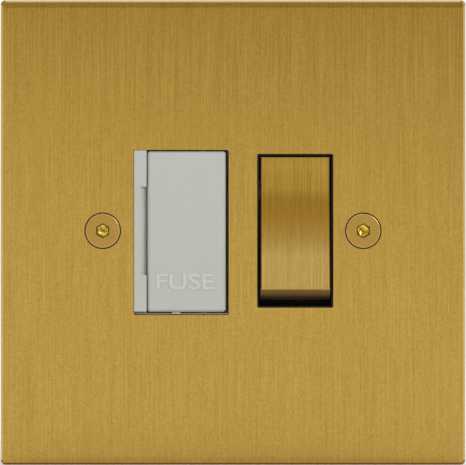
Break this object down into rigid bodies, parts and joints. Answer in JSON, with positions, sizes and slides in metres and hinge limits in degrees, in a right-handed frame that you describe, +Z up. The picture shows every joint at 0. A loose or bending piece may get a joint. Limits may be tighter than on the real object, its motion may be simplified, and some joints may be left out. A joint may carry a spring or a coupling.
{
  "type": "switched fused spur unit",
  "caption": "Square brushed brass wall plate with a rocker switch, a swing-out fuse carrier and the switch and terminal works behind it.",
  "frame": {"origin": "midpoint between the two fixing screws on the wall plane, y = 0", "axes": "+Z up, +X to the right as seen from the room, +Y into the wall; the front faces -Y"},
  "size_m": [0.1076, 0.0295, 0.1076],
  "materials": {
    "brushed_brass": "fine vertical brush lines under clear lacquer",
    "brass_parts": "plain pressed or turned brass",
    "grey_plastic": "pale grey satin moulding",
    "black_plastic": "black satin moulding",
    "white_nylon": "natural nylon",
    "gasket_foam": "closed-cell foam",
    "zinc_steel": "bright zinc plate",
    "spring_steel": "bright wire",
    "silver": "silver contact metal",
    "nickel_plate": "nickel plate on brass",
    "ceramic": "unglazed ceramic tube"
  },
  "bodies": {
    "base": {"front_plate": "brushed_brass", "fixing_screws": "brushed_brass", "wall_gasket": "gasket_foam", "front_moulding": "black_plastic", "rear_housing": "black_plastic", "fuse_frame": "grey_plastic", "stud_clips": "spring_steel", "housing_screws": "zinc_steel", "terminal_screws": "brass_parts", "supply_live_terminal": "brass_parts", "supply_neutral_terminal": "brass_parts", "load_live_terminal": "brass_parts", "load_neutral_terminal": "brass_parts", "supply_earth_terminal": "brass_parts", "load_earth_terminal": "brass_parts", "fixed_contact_tips": "silver", "live_contact_strip": "brass_parts", "neutral_contact_strip": "brass_parts", "upper_fuse_clip": "nickel_plate", "lower_fuse_clip": "nickel_plate", "earth_bar": "brass_parts", "live_pivot_bracket": "brass_parts", "neutral_pivot_bracket": "brass_parts"},
    "rocker": {"rocker_cap": "brushed_brass", "rocker_lever": "black_plastic", "live_plunger": "white_nylon", "neutral_plunger": "white_nylon", "live_spring": "spring_steel", "neutral_spring": "spring_steel"},
    "live_arm": {"live_contact_arm": "brass_parts", "live_arm_tip": "silver"},
    "neutral_arm": {"neutral_contact_arm": "brass_parts", "neutral_arm_tip": "silver"},
    "fuse_door": {"fuse_carrier": "grey_plastic", "fuse_tube": "ceramic", "fuse_cap_upper": "nickel_plate", "fuse_cap_lower": "nickel_plate"}
  },
  "joints": [
    {"name": "rocker_tilt", "type": "hinge", "parent": "base", "child": "rocker", "pos_m": [0.0144, 0.00674, 0], "axis": [1, 0, 0], "range_deg": [0, 18]},
    {"name": "live_arm_tilt", "type": "hinge", "parent": "base", "child": "live_arm", "pos_m": [0.0103, 0.01664, 0], "axis": [1, 0, 0], "range_deg": [-17, 0]},
    {"name": "neutral_arm_tilt", "type": "hinge", "parent": "base", "child": "neutral_arm", "pos_m": [0.0185, 0.01664, 0], "axis": [1, 0, 0], "range_deg": [-17, 0]},
    {"name": "door_swing", "type": "hinge", "parent": "base", "child": "fuse_door", "pos_m": [-0.007, 0.0004, -0.0004], "axis": [0, 0, 1], "range_deg": [0, 75]}
  ],
  "couplings": [
    {"joint": "live_arm_tilt", "follows": "rocker_tilt", "ratio": -0.9444},
    {"joint": "neutral_arm_tilt", "follows": "rocker_tilt", "ratio": -0.9444}
  ]
}
